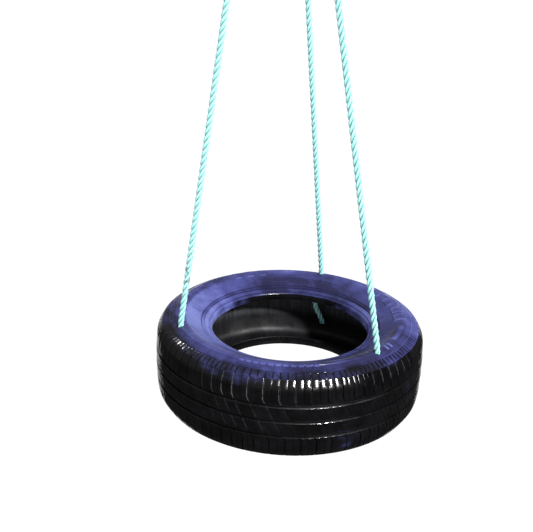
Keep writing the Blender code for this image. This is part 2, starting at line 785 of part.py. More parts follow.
def make_rope_plate(parent):
    low = ROPE_PLATE_TOP - ROPE_PLATE
    plate = cylinder("rope_plate", ROPE_PLATE_RADIUS, low, ROPE_PLATE_TOP, segments=TYRE_STEPS)
    rise = ROPE_PLATE_TOP - ROPE_PLATE / 2 - ROPE_PIN_Z
    middle = (ROPE_LUG_INSIDE + ROPE_LUG_OUTSIDE) / 2
    for which in LUG_BEARINGS:
        pin, axis = rope_pin_place(which), pin_axis(which)
        across = axis.cross(UP)
        for side in (-1, 1):
            frame = axes_matrix(pin + axis * side * middle, axis * side, across * side)
            lug = tongue(f"rope_lug_{which}_{side}", upright(frame), rise, ROPE_LUG)
            join_with(plate, lug)
        frame = axes_matrix(pin, axis, UP)
        cut_with(plate, cylinder(f"rope_lug_bore_{which}", PIN_BORE, -LONG_CUT, LONG_CUT, frame))
    cut_with(plate, cylinder("rope_plate_bore", PIN_BORE, low - CUT_PAST, ROPE_PLATE_TOP + CUT_PAST))
    finish(plate, "galvanised", parent)


def upright(frame):
    """The frame, turned about its own Z so that its Y points up."""
    z = frame.to_3x3() @ UP
    x = UP.cross(z).normalized()
    turn = Matrix((x, UP, z)).transposed().to_4x4()
    return Matrix.Translation(frame.translation) @ turn


def main():
    hanger = empty("hanger_frame", (0.0, 0.0, 0.0))
    fore_aft = empty("fore_aft_axis", (0.0, 0.0, UPPER_PIN_Z), hanger)
    sideways = empty("sideways_axis", (0.0, 0.0, LOWER_PIN_Z), fore_aft)
    cage = empty("cage_axis", (0.0, 0.0, YOKE_WEB_TOP), sideways)
    spin = empty("spin_axis", (0.0, 0.0, YOKE_WEB_TOP), sideways)
    tyre_frame = empty("tyre_frame", (0.0, 0.0, -TYRE_DROP), spin, (0.0, TYRE_TILT, 0.0))
    make_hanger(hanger)
    make_pivot_block(fore_aft)
    make_yoke(sideways)
    bearing_top = make_bearing(sideways, cage, spin)
    make_swivel_bolt(bearing_top, spin)
    make_rope_plate(spin)
    tyre = tyre_frame.matrix_world.copy()
    for which in HOLE_BEARINGS:
        make_rope_set(which, tyre, spin)
    make_tyre(tyre_frame)


main()
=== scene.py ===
"""Looks for the tire swing: a painted car tyre on three laid ropes under a swivel hanger.

Metres, in the CAD model's frame: the origin is the middle of the hanger plate's top face, +Z is up.
"""

import json
import math

import bmesh
import bpy
import numpy as np
from mathutils import Matrix, Vector


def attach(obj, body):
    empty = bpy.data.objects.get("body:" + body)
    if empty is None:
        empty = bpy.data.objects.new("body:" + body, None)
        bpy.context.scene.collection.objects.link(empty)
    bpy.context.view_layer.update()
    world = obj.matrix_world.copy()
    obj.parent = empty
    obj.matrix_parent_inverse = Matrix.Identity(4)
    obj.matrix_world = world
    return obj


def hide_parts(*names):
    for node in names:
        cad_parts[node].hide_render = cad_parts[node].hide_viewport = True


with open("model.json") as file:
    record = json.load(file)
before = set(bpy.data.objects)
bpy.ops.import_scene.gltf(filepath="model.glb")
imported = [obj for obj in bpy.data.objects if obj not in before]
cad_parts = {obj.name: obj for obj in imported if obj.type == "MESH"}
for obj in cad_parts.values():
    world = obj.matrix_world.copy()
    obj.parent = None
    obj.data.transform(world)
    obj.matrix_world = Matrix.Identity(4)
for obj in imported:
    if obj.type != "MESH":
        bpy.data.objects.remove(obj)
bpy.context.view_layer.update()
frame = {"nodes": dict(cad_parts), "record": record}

UP = Vector((0.0, 0.0, 1.0))
SIDES = ("rear", "left", "right")

# The tyre's place and the ropes' routes, as in the CAD source
TYRE_DROP = 1.474
TYRE_TILT = math.radians(2.2)
TYRE = Matrix.Translation((0.0, 0.0, -TYRE_DROP)) @ Matrix.Rotation(TYRE_TILT, 4, "Y")
TYRE_UP = (TYRE.to_3x3() @ UP).normalized()
HOLE_CIRCLE = 0.2693
HOLE_HEIGHT = 0.1036
HOLE_BEARINGS = {"rear": 73.0, "left": 203.0, "right": 315.0}
LUG_BEARINGS = {"rear": 77.0, "left": 197.0, "right": 317.0}
TAIL_TURNS = {"rear": 1.0, "left": -1.0, "right": 0.9}
ROPE_PIN_CIRCLE = 0.04
ROPE_PIN_Z = -0.162
KNOT_DEPTH = 0.0168
KNOT_LENGTH = 0.028
LEAVE_HEIGHT = 0.008
BEND_LENGTH = 0.02
SPLICE_START = 0.051
SPLICE_LENGTH = 0.11
EYE_RADIUS = 0.0216
THROAT = 0.0074
# A tail below its knot: along the tyre, outwards and down
TAIL_ROUTE = [
    (0.0, 0.0, 0.0), (0.0, 0.0, 0.004), (0.0035, -0.0018, 0.013), (0.009, -0.004, 0.0255),
    (0.0117, -0.0055, 0.0385), (0.006, -0.0037, 0.0565), (-0.0027, -0.001, 0.0755),
    (-0.0122, 0.0013, 0.0975),
]


def new_object(name, data):
    obj = bpy.data.objects.new(name, data)
    bpy.context.scene.collection.objects.link(obj)
    return obj


# Camera
CAMERA_PLACE = (0.0335, -1.6994, -0.6014)
CAMERA_TURN = (69.09, 0.53, 2.68)
CAMERA_LENS = 52.53


def make_camera():
    data = bpy.data.cameras.new("camera")
    data.lens = CAMERA_LENS
    data.sensor_width = 36.0
    data.clip_end = 500.0
    camera = new_object("camera", data)
    camera.location = CAMERA_PLACE
    camera.rotation_euler = [math.radians(angle) for angle in CAMERA_TURN]
    bpy.context.scene.camera = camera


make_camera()

# Shared helpers


def grid_object(name, points, uv, crease, wrap_rows=False):
    """A mesh from a rows x columns x 3 array. Columns close on themselves, and rows may too."""
    rows, columns = points.shape[:2]
    row_end = rows if wrap_rows else rows - 1
    i, j = np.meshgrid(np.arange(row_end), np.arange(columns), indexing="ij")
    i, j = i.ravel(), j.ravel()
    i2, j2 = (i + 1) % rows, (j + 1) % columns
    corners = np.stack([i * columns + j, i * columns + j2, i2 * columns + j2, i2 * columns + j], 1)
    mesh = bpy.data.meshes.new(name)
    mesh.from_pydata(points.reshape(-1, 3), [], corners)
    u, v = uv
    layer = mesh.uv_layers.new(name="polar")
    ju = np.stack([j, j + 1, j + 1, j], 1)
    iv = np.stack([i, i, i + 1, i + 1], 1)
    flat = np.stack([u[ju], v[iv]], 2)
    layer.data.foreach_set("uv", flat.reshape(-1).astype(np.float32))
    mesh.validate()
    smooth(mesh, crease)
    return new_object(name, mesh)


def smooth(mesh, crease):
    """Shades smooth, but keeps edges sharper than crease degrees."""
    mesh.shade_smooth()
    mesh.set_sharp_from_angle(angle=math.radians(crease))


def add_value(obj, name, values):
    """Gives the vertices a number that the materials read by name. Those past the last value get 0."""
    every = np.zeros(len(obj.data.vertices), np.float32)
    every[: values.size] = values.ravel()
    obj.data.attributes.new(name, "FLOAT", "POINT").data.foreach_set("value", every)


def joined(name, objects):
    """One object from several, with the first one's materials and layers."""
    with bpy.context.temp_override(
        active_object=objects[0], object=objects[0], selected_editable_objects=objects
    ):
        bpy.ops.object.join()
    objects[0].name = name
    return objects[0]


def step(value, low, high):
    """Rises smoothly from 0 at low to 1 at high."""
    t = np.clip((value - low) / (high - low), 0.0, 1.0)
    return t * t * (3 - 2 * t)


def lobe(angles, bearing, width):
    """1 at a bearing, in degrees, falling smoothly to 0 at width degrees from it."""
    away = np.abs((np.degrees(angles) - bearing + 180.0) % 360.0 - 180.0)
    return 1.0 - step(away, 0.0, width)


def axes_matrix(origin, z_axis, x_hint):
    """A placement with its Z along z_axis and its X as near x_hint as it can be."""
    z = Vector(z_axis).normalized()
    y = z.cross(Vector(x_hint)).normalized()
    x = y.cross(z)
    return Matrix.Translation(origin) @ Matrix((x, y, z)).transposed().to_4x4()


def smooth_route(points, spacing):
    """Points at about that spacing on a Catmull-Rom curve through the given ones."""
    knots = [Vector(p) for p in points]
    knots = [2 * knots[0] - knots[1], *knots, 2 * knots[-1] - knots[-2]]
    made = []
    for a, b, c, d in zip(knots, knots[1:], knots[2:], knots[3:]):
        count = max(1, round((c - b).length / spacing))
        for i in range(count):
            t = i / count
            bend = (2 * a - 5 * b + 4 * c - d) * t * t + (3 * b - a - 3 * c + d) * t**3
            made.append(0.5 * (2 * b + (c - a) * t + bend))
    made.append(knots[-2])
    return made


def unit(rows):
    """The rows scaled to length 1."""
    return rows / np.linalg.norm(rows, axis=1)[:, None]


def distances(line):
    """How far along the line each of its points lies."""
    return np.r_[0.0, np.cumsum(np.linalg.norm(np.diff(line, axis=0), axis=1))]


def respaced(points, spacing):
    """The same line as an array of evenly spaced points."""
    line = np.array([tuple(p) for p in points])
    along = distances(line)
    wanted = np.linspace(0.0, along[-1], max(2, round(along[-1] / spacing) + 1))
    return np.stack([np.interp(wanted, along, line[:, k]) for k in range(3)], 1)


def softened(line, rounds):
    """Rounds off a line's corners, and keeps its ends."""
    for _ in range(rounds):
        line[1:-1] = 0.25 * line[:-2] + 0.5 * line[1:-1] + 0.25 * line[2:]
    return line


def carried_frames(line):
    """A pair of axes across the line at each point, carried along without twist."""
    ahead = unit(np.gradient(line, axis=0))
    first = np.cross(ahead[0], (0.0, 0.0, 1.0))
    if np.linalg.norm(first) < 0.1:
        first = np.cross(ahead[0], (1.0, 0.0, 0.0))
    across = [first / np.linalg.norm(first)]
    for direction in ahead[1:]:
        side = across[-1] - direction * (across[-1] @ direction)
        across.append(side / np.linalg.norm(side))
    return np.array(across), np.cross(ahead, across)


# Laid rope: three strands, each of nine yarns that turn against the lay
LAY = 0.048
STRANDS = 3
STRAND_RADIUS = 0.0033
STRAND_CIRCLE = 0.00385
YARNS = 9
YARN_STEPS = 3
YARN_SWELL = 0.055
YARN_BACK_TURN = 0.75
CROWN_WEAR = 0.06
ROPE_STEP = 0.0034
ROPE_CREASE = 80.0

# The ropes' fittings
THIMBLE_SIDE = [(-SPLICE_START, THROAT), (-0.046, THROAT), (-0.036, 0.011), (-0.024, 0.0172)]
EYE_STEPS = 11
EYE_FROM = -20
EYE_SWEEP = 110
RUN_IN = 0.03
SPLICE_OVERLAP = 0.004
SPLICE_LAY = 0.062
SPLICE_TURN = 0.6
KNOT_TURNS = 2.35
KNOT_STEPS = 60
KNOT_RADIUS = 0.0118
KNOT_TAPER = 0.0035
KNOT_RISE = 0.017
KNOT_LAY = 0.04
KNOT_STEP = 0.003
KNOT_CORE = (0.015, 0.005, -0.005, -0.015)
TAIL_STEP = 0.004
TWINE_START = 0.003
TWINE_TURNS = 9
TWINE_STEPS = 14
TWINE_RADIUS = 0.0009
TWINE_CIRCLE = 0.0093
TWINE_PITCH = 0.0016


def laid_rope(name, points, scale=None, spacing=ROPE_STEP, turn=0.0, lay=LAY, shrink=1.0):
    """Three strands laid round the line through points. Returns the object and its centreline."""
    line = softened(respaced(points, spacing), 3)
    across, other = carried_frames(line)
    along = distances(line)
    size = np.full(len(line), shrink) if scale is None else scale(along / along[-1]) * shrink
    columns = YARNS * YARN_STEPS
    around_strand = 2 * np.pi * np.arange(columns) / columns
    yarns = 1.0 + YARN_SWELL * np.cos(YARNS * around_strand)
    strands = []
    for k in range(STRANDS):
        phase = 2 * np.pi * (along / lay + k / STRANDS) + turn
        out = np.cos(phase)[:, None] * across + np.sin(phase)[:, None] * other
        centre = line + out * (STRAND_CIRCLE * size)[:, None]
        tangent = unit(np.gradient(centre, axis=0))
        radial = unit(out - tangent * (out * tangent).sum(1)[:, None])
        side = np.cross(tangent, radial)
        turned = around_strand[None, :] - YARN_BACK_TURN * phase[:, None]
        ring = np.cos(turned)[..., None] * radial[:, None] + np.sin(turned)[..., None] * side[:, None]
        flat = 1.0 - CROWN_WEAR * np.cos(turned)
        shape = STRAND_RADIUS * size[:, None] * yarns[None, :] * flat
        skin = centre[:, None] + ring * shape[..., None]
        u = np.arange(columns + 1) / columns
        strand = grid_object(f"{name}_strand", skin, (u, along), ROPE_CREASE)
        # Painted shade: the strands are drawn darker where they turn in between each other.
        add_value(strand, "deep", 1.0 - step(np.cos(turned), -0.05, 0.8))
        cap_ends(strand, columns)
        strands.append(strand)
    return joined(name, strands), line


def store(shape, mesh):
    """Turns the shape's faces outwards and writes it into the mesh."""
    bmesh.ops.recalc_face_normals(shape, faces=shape.faces)
    shape.to_mesh(mesh)
    shape.free()
    return mesh


def cap_ends(obj, columns):
    """Closes a tube's two ends with a fan each."""
    shape = bmesh.new()
    shape.from_mesh(obj.data)
    shape.verts.ensure_lookup_table()
    for ring in (list(shape.verts)[:columns], list(shape.verts)[-columns:]):
        middle = shape.verts.new(sum((v.co for v in ring), Vector()) / columns)
        for a, b in zip(ring, ring[1:] + ring[:1]):
            shape.faces.new((a, b, middle))
    store(shape, obj.data)


def round_place(radius, angle, height=0.0):
    return Vector((radius * math.cos(angle), radius * math.sin(angle), height))


def hole_place(which):
    return TYRE @ round_place(HOLE_CIRCLE, math.radians(HOLE_BEARINGS[which]), HOLE_HEIGHT)


def lug_side(which):
    return round_place(1.0, math.radians(LUG_BEARINGS[which]))


def rope_pin_place(which):
    return lug_side(which) * ROPE_PIN_CIRCLE + UP * ROPE_PIN_Z


def pin_axis(which):
    return UP.cross(lug_side(which))


def rope_route(which):
    """Up from the knot, through the hole, straight up through the splice and round the thimble."""
    hole, pin = hole_place(which), rope_pin_place(which)
    leaves = hole + TYRE_UP * LEAVE_HEIGHT
    direction = (pin - leaves).normalized()
    start = leaves - TYRE_UP * BEND_LENGTH / 2
    end = leaves + direction * BEND_LENGTH
    route = [hole - TYRE_UP * KNOT_DEPTH]
    for i in range(5):
        t = i / 4
        route.append(start * (1 - t) ** 2 + leaves * 2 * t * (1 - t) + end * t * t)
    route.append(pin - direction * (SPLICE_START + RUN_IN))
    side = direction.cross(pin_axis(which)).normalized()
    half = list(THIMBLE_SIDE)
    for i in range(EYE_STEPS + 1):
        angle = math.radians(EYE_FROM + EYE_SWEEP * i / EYE_STEPS)
        half.append((EYE_RADIUS * math.sin(angle), EYE_RADIUS * math.cos(angle)))
    route += [pin + direction * rise + side * out for rise, out in half]
    route += [pin + direction * rise - side * out for rise, out in reversed(half[:-1])]
    return route, leaves, direction


def tail_route(which):
    start = hole_place(which) - TYRE_UP * (KNOT_DEPTH + KNOT_LENGTH)
    bearing = math.radians(HOLE_BEARINGS[which])
    turn = TYRE.to_3x3()
    outward = turn @ round_place(1.0, bearing)
    along = turn @ Vector((-math.sin(bearing), math.cos(bearing), 0.0))
    points = [
        start + along * a * TAIL_TURNS[which] + outward * o - TYRE_UP * d for a, o, d in TAIL_ROUTE
    ]
    return smooth_route(points, TAIL_STEP)


def knot_route(which):
    """The knot's wraps, up round its core, and the core itself."""
    centre = hole_place(which) - TYRE_UP * (KNOT_DEPTH + KNOT_LENGTH / 2)
    local = axes_matrix(centre, TYRE_UP, round_place(1.0, math.radians(HOLE_BEARINGS[which])))
    wraps = []
    for i in range(KNOT_STEPS + 1):
        t = i / KNOT_STEPS
        angle = 2 * math.pi * KNOT_TURNS * t
        radius = KNOT_RADIUS - KNOT_TAPER * (max(0.0, 0.1 - t) + max(0.0, t - 0.9)) / 0.1
        wraps.append(local @ round_place(radius, angle, KNOT_RISE * (t - 0.5)))
    core = [local @ Vector((0.0, 0.0, z)) for z in KNOT_CORE]
    return wraps, core


def make_ropes():
    """Per rope: its main run with the eye, its splice, its stopper knot and its slack tail."""
    made = {}
    for which in SIDES:
        route, leaves, direction = rope_route(which)
        main, line = laid_rope(f"laid_rope_{which}", route)
        splice = make_splice(which, direction)
        knot = make_knot(which)
        tail, tail_line = laid_rope(f"slack_tail_{which}", tail_route(which), scale=frayed_end)
        for piece, node in (
            (main, "rope_eye"), (splice, "rope_splice"), (knot, "stopper_knot"), (tail, "rope_tail")
        ):
            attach(piece, "swing")
            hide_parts(f"{node}_{which}")
        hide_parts(f"rope_{which}")
        made[which] = (main, splice, knot, tail)
    return made


def frayed_end(share):
    """The tail's strands stand a little further apart towards its cut end."""
    return 1.0 + 0.1 * np.clip((share - 0.8) / 0.2, 0.0, 1.0) ** 2


def splice_size(share):
    """The tucked strands make the rope twice as thick at the eye, and taper down from there."""
    return 2.05 - 0.18 * np.clip(share / 0.1, 0, 1) - 0.68 * share


def make_splice(which, direction):
    """The tucked part below the eye, with a whipping of twine at its foot."""
    pin = rope_pin_place(which)
    top = pin - direction * (SPLICE_START - SPLICE_OVERLAP)
    foot = pin - direction * (SPLICE_START + SPLICE_LENGTH)
    points = [top.lerp(foot, i / 4) for i in range(5)]
    tucks, _ = laid_rope(
        f"eye_splice_{which}", points, scale=splice_size, turn=SPLICE_TURN, lay=SPLICE_LAY
    )
    local = axes_matrix(foot + direction * TWINE_START, direction, pin_axis(which))
    coil = []
    for i in range(TWINE_TURNS * TWINE_STEPS + 1):
        angle = 2 * math.pi * i / TWINE_STEPS
        coil.append(local @ round_place(TWINE_CIRCLE, angle, TWINE_PITCH * i / TWINE_STEPS))
    twine = round_tube(f"whipping_{which}", respaced(coil, 0.0042), TWINE_RADIUS, 8)
    return joined(f"eye_splice_{which}", [tucks, twine])


def round_tube(name, line, radius, sides):
    across, other = carried_frames(line)
    turned = 2 * np.pi * np.arange(sides) / sides
    ring = np.cos(turned)[:, None] * across[:, None] + np.sin(turned)[:, None] * other[:, None]
    along = np.linspace(0.0, 1.0, len(line))
    u = np.arange(sides + 1) / sides
    tube = grid_object(name, line[:, None] + ring * radius, (u, along), ROPE_CREASE)
    cap_ends(tube, sides)
    return tube


def make_knot(which):
    wraps, core = knot_route(which)
    outer, _ = laid_rope(f"knot_wraps_{which}", wraps, spacing=KNOT_STEP, shrink=0.8, lay=KNOT_LAY)
    inner, _ = laid_rope(f"knot_core_{which}", core, spacing=KNOT_STEP, shrink=0.95)
    return joined(f"wrapped_knot_{which}", [outer, inner])


ROPES = make_ropes()

# The tyre
TYRE_RADIUS = 0.3195
SHOULDER_Z = 0.0902
SHOULDER_DROP = 0.01002
CHAMFER_Z = 0.0722
RAMP_SOFTNESS = 0.22
CROWN = 0.6
PITCH_RUNS = [(7, 1.17), (13, 0.86), (9, 1.0), (12, 0.86), (8, 1.17), (10, 1.0), (13, 0.86)]
FIRST_PITCH = 249.0
GROOVE_PLACES = (0.0355, 0.0, -0.0355)
GROOVE_HALF = 0.0031
GROOVE_DEPTH = 0.0062
SLOT_HALF = 0.0011
SIPE_HALF = 0.0004
CHAMFER = 0.0007
GROOVE_RIM = 0.08
SLOT_RIM = 0.1
SIPE_RIM = 0.15
GAP_HALF = 0.0022
GAP_SLOPE = 0.0005
GAP_EDGE = 0.0006
SERRATED = ((0.2884, 0.2894), (0.3015, 0.3036))
PLAIN_COLUMN = 6
GAP_CUT = 0.0024
NOTCH_CUT = 0.0034
TREAD_INSIDE = [(0.3012, 0.0795), (0.305, 0.0745), (0.3088, 0.072), (0.3101, 0.0)]
RUBBER_TONE = 0.1
LINE_EDGE = 0.0005
HOLE_RADIUS = 0.0088
DRILL_LENGTH = 0.06


def shoulder_ramp(z):
    """The shoulder's chamfer: how far it has dropped at height z, and how steeply, as shares."""
    span = SHOULDER_Z - CHAMFER_Z
    t = (z - CHAMFER_Z) / span
    root = np.sqrt(t**2 + RAMP_SOFTNESS**2)
    whole = (1.0 + math.sqrt(1.0 + RAMP_SOFTNESS**2)) / 2.0
    return (t + root) / 2.0 / whole, (1.0 + t / root) / 2.0 / whole / span


def crown_radius(z):
    """The tread's outside radius at height z over the middle plane."""
    z = np.abs(z)
    return TYRE_RADIUS - CROWN * z**2 - SHOULDER_DROP * shoulder_ramp(z)[0]


def crown_slope(z):
    """How fast the tread's outside radius shrinks with height."""
    return np.sign(z) * (2.0 * CROWN * np.abs(z) + SHOULDER_DROP * shoulder_ramp(np.abs(z))[1])


# The plain sidewall, from the bead out to the shoulder: radius and height
WALL_BASE = [
    (0.1884, 0.0731), (0.196, 0.0768), (0.204, 0.0806), (0.2145, 0.086), (0.225, 0.0915),
    (0.238, 0.0984), (0.2483, 0.1034), (0.256, 0.1064), (0.262, 0.1081), (0.267, 0.1085),
    (0.272, 0.1071), (0.278, 0.1043), (0.284, 0.1012), (0.29, 0.0984), (0.2955, 0.0958),
    (0.3005, 0.0932), (0.3046, 0.0902),
]


def wall_height(radius):
    """The plain sidewall's height at a radius, on a smooth line through WALL_BASE."""
    base = np.array(WALL_BASE)
    slopes = np.gradient(base[:, 1], base[:, 0])
    radius = np.asarray(radius, float)
    i = np.clip(np.searchsorted(base[:, 0], radius) - 1, 0, len(base) - 2)
    width = base[i + 1, 0] - base[i, 0]
    t = (radius - base[i, 0]) / width
    low, high = base[i, 1], base[i + 1, 1]
    return (
        (2 * t**3 - 3 * t**2 + 1) * low
        + (t**3 - 2 * t**2 + t) * width * slopes[i]
        + (3 * t**2 - 2 * t**3) * high
        + (t**3 - t**2) * width * slopes[i + 1]
    )


def pitch_columns(profile):
    """Angles round the tyre, in radians, with how deep each lies in a slot or in a sipe."""
    total = sum(count * size for count, size in PITCH_RUNS)
    angles, slots, sipes = [], [], []
    start = math.radians(FIRST_PITCH)
    for count, size in PITCH_RUNS:
        width = 2 * math.pi * size / total
        for _ in range(count):
            for place, slot, sipe in profile(width * TYRE_RADIUS):
                angles.append(start + place / TYRE_RADIUS)
                slots.append(slot)
                sipes.append(sipe)
            start += width
    return np.array(angles), np.array(slots), np.array(sipes)


def pitch_profile(width):
    """One pitch of the tread, in metres along the tyre: a slot, a block, a sipe and a block."""
    middle = width / 2
    slot = [(SLOT_HALF + CHAMFER, 0.0), (SLOT_HALF, SLOT_RIM), (SLOT_HALF * 0.85, 1.0)]
    sipe = [(SIPE_HALF + CHAMFER, 0.0), (SIPE_HALF, SIPE_RIM), (SIPE_HALF * 0.6, 1.0)]
    points = [(-away, depth, 0.0) for away, depth in slot]
    points += [(away, depth, 0.0) for away, depth in reversed(slot)]
    points.append((middle * 0.55, 0.0, 0.0))
    points += [(middle - away, 0.0, depth) for away, depth in sipe]
    points += [(middle + away, 0.0, depth) for away, depth in reversed(sipe)]
    points.append((middle * 1.45, 0.0, 0.0))
    return points


def wall_profile(width):
    """One pitch of the shoulder's serrations: a slot's notch, a bar, a wide gap and a bar."""
    half, middle = GAP_HALF, width / 2
    foot, edge = half - GAP_SLOPE, half + GAP_EDGE
    notch = [(-half, 0.0), (-foot, 1.0), (0.0, 1.0), (foot, 1.0), (half, 0.0), (edge, 0.0)]
    gap = [(-edge, 0.0), (-half, 0.0), (-foot, 1.0), (foot, 1.0), (half, 0.0), (edge, 0.0)]
    points = [(place, depth, depth) for place, depth in notch]
    points.append((middle * 0.56, 0.0, 0.0))
    points += [(middle + place, 0.0, depth) for place, depth in gap]
    points.append((middle * 1.44, 0.0, 0.0))
    return points


ANGLES, SLOTS, SIPES = pitch_columns(pitch_profile)
TURNS = np.r_[ANGLES, ANGLES[0] + 2 * math.pi] / (2 * math.pi)
WALL_ANGLES, WALL_SLOTS, WALL_GAPS = pitch_columns(wall_profile)
WALL_TURNS = np.r_[WALL_ANGLES, WALL_ANGLES[0] + 2 * math.pi] / (2 * math.pi)


def slant(z):
    """How far round the tyre a slot has moved at height z, in radians. The shoulders' are straight."""
    return 0.5 * (0.05 - np.clip(z, -0.05, 0.05)) / TYRE_RADIUS


def tread_rows():
    """Heights down the tread, with how deep each lies in a circumferential groove."""
    rows = [(SHOULDER_Z, 0.0), (0.0888, 0.0), (0.087, 0.0), (0.0845, 0.0)]
    rows += [(z, 0.0) for z in np.arange(0.081, 0.043, -0.005)]
    for number, middle in enumerate(GROOVE_PLACES):
        edge = middle + GROOVE_HALF
        foot = middle - GROOVE_HALF
        rows += [(edge + CHAMFER, 0.0), (edge, GROOVE_RIM), (edge - 0.0006, 1.0), (middle, 1.03)]
        rows += [(foot + 0.0006, 1.0), (foot, GROOVE_RIM), (foot - CHAMFER, 0.0)]
        if number + 1 < len(GROOVE_PLACES):
            after = GROOVE_PLACES[number + 1] + GROOVE_HALF + CHAMFER
            steps = np.linspace(foot - CHAMFER, after, 8)[1:-1]
            rows += [(z, 0.0) for z in steps]
    top_groove = GROOVE_PLACES[0] + GROOVE_HALF + CHAMFER
    rows += [(-z, level) for z, level in reversed(rows) if z > top_groove]
    return np.array(rows)


def slot_depths(z):
    """Slot and sipe depths at height z: deep on the shoulders, fine cuts in the ribs between."""
    shoulder = np.clip((np.abs(z) - 0.04) / 0.002, 0.0, 1.0)
    fade = np.clip((0.096 - np.abs(z)) / 0.025, 0.25, 1.0)
    slot = 0.0016 + shoulder * 0.0034 * fade
    sipe = 0.001 + shoulder * 0.0014 * fade
    return slot, sipe


def ring_points(radius, z, angles):
    """Places on the tyre as points in the CAD's frame. Each argument is rows x columns."""
    flat = np.stack([radius * np.cos(angles), radius * np.sin(angles), z], -1)
    turn = np.array(TYRE.to_3x3())
    return flat @ turn.T + np.array(TYRE.translation)


def with_rows(radius, z, points):
    """The two arrays with a plain row added for each (radius, height) point."""
    columns = radius.shape[1]
    added = np.repeat(np.array(points)[:, :, None], columns, 2)
    return np.concatenate([radius, added[:, 0]]), np.concatenate([z, added[:, 1]])


def closed_ring(name, radius, z, angles, inside, lengths, crease=30.0, turns=TURNS):
    """Closes detailed outer rows with plain inner ones. inside is (radius, height) points."""
    radius, z = with_rows(radius, z, inside)
    angles = np.concatenate([angles, np.repeat(angles[-1:], len(inside), 0)])
    v = np.r_[lengths, lengths[-1] + 0.01 * (1 + np.arange(len(inside) + 1))]
    return grid_object(name, ring_points(radius, z, angles), (turns, v), crease, wrap_rows=True)


def make_tread():
    rows = tread_rows()
    z = rows[:, 0][:, None]
    groove = rows[:, 1:]
    slot, sipe = slot_depths(z)
    cut = np.maximum(SLOTS[None] * slot, SIPES[None] * sipe)
    depth = np.maximum(groove * GROOVE_DEPTH, cut)
    slope = crown_slope(z)
    length = np.sqrt(1 + slope**2)
    radius = crown_radius(z) - depth / length
    height = z - depth * slope / length
    angles = ANGLES[None] + slant(z)
    inside = TREAD_INSIDE + [(r, -h) for r, h in reversed(TREAD_INSIDE[:-1])]
    lengths = SHOULDER_Z - rows[:, 0]
    tread = closed_ring("ribbed_tread", radius, height, angles, inside[::-1], lengths)
    add_value(tread, "paint", paint_on_tread(z, ANGLES[None] + 0 * z))
    add_value(tread, "tone", RUBBER_TONE + 0 * angles)
    # Painted highlights along the slot and groove edges.
    add_value(tread, "edge_glints", edge_glint_mask(z, groove, angles))
    add_value(tread, "dull", tread_dust(z, angles))
    fix_normals(tread)
    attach(tread, "swing")
    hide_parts("tread_band")
    return tread


def tread_dust(z, angles):
    """How much gloss the dust takes from the upper shoulder at the front right."""
    return 0.37 * np.clip(2.2 * lobe(angles, 316.0, 26.0), 0.0, 1.0) * step(z, 0.05, 0.07)


def edge_glint_mask(z, groove, angles):
    """Painted highlights: pale lines along the slots at the front left, and along the grooves at the
    front, where the light catches their edges.
    """
    rim = np.isclose(groove, GROOVE_RIM) * 1.0
    front = 0.06 + 0.8 * lobe(angles, 285.0, 30.0)
    top_groove = 0.45 + 0.55 * (z > 0.02)
    lines = rim * front * top_groove
    cut_edge = np.isclose(SLOTS, SLOT_RIM)[None] * 1.0
    reach = step(z, 0.038, 0.042) + 0.25 * step(z, -0.03, -0.02)
    left = lobe(angles, 258.0, 30.0) + 0.6 * lobe(angles, 312.0, 26.0) * step(z, 0.06, 0.07)
    return np.clip(lines + cut_edge * reach * left, 0.0, 1.0)


# How light the paint is drawn at each bearing, in degrees: on the inner band, and outside it. The inner
# band's values also hold painted light: the band is drawn palest on the left, where the light falls on
# its slope.
BAND_TONE_AND_LIGHT = [
    (0, 0.36), (20, 0.4), (45, 0.12), (75, 0.0), (105, 0.05), (135, 0.36),
    (160, 0.7), (190, 1.0), (225, 0.66), (260, 0.4), (300, 0.34), (340, 0.36),
]
OUTER_TONE = [
    (0, 0.38), (20, 0.56), (48, 0.28), (72, 0.3), (90, 0.54), (110, 0.36),
    (140, 0.22), (180, 0.22), (225, 0.36), (258, 0.4), (285, 0.18), (310, 0.14), (335, 0.22),
]
# Changes to that near the rim: the change, its bearing and width, and the radii that it grows over
RIM_TONE = [
    (0.16, 350.0, 40.0, 0.27, 0.278),
    (-0.2, 225.0, 100.0, 0.268, 0.274),
    (-0.24, 328.0, 34.0, 0.264, 0.27),
    (-0.1, 268.0, 30.0, 0.27, 0.278),
]


def around(pairs, angles):
    """A value that runs evenly from pair to pair round the tyre: (bearing in degrees, value)."""
    bearings, values = np.array(pairs, float).T
    return np.interp(np.degrees(angles), bearings, values, period=360.0)


def paint_on_tread(z, angles):
    """Overspray: it runs over the shoulder most at the front left, and hardly at the right."""
    reach = 0.004 + 0.015 * lobe(angles, 247.0, 27.0)
    thin = 0.1 + 0.25 * lobe(angles, 247.0, 27.0)
    return thin * (1.0 - step(SHOULDER_Z - z, 0.2 * reach, 1.6 * reach))


def paint_on_wall(radius, angles, height):
    """How much paint the sidewall carries, from 0 to 1. It thins outwards at the front and the left."""
    front = np.clip(1.8 * lobe(angles, 250.0, 110.0), 0.0, 1.0)
    left = lobe(angles, 205.0, 45.0) * step(radius, 0.26, 0.272)
    back = lobe(angles, 75.0, 62.0) * (1 - step(radius, 0.234, 0.25))
    seat = (1.0 - step(height, 0.07, 0.0736)) * (1.0 - step(radius, 0.19, 0.191))
    paint = 1.0 - 0.62 * front * step(radius, 0.273, 0.29) - 0.14 * left - 0.34 * back
    return paint - seat * (0.4 + 0.6 * lobe(angles, 95.0, 60.0))


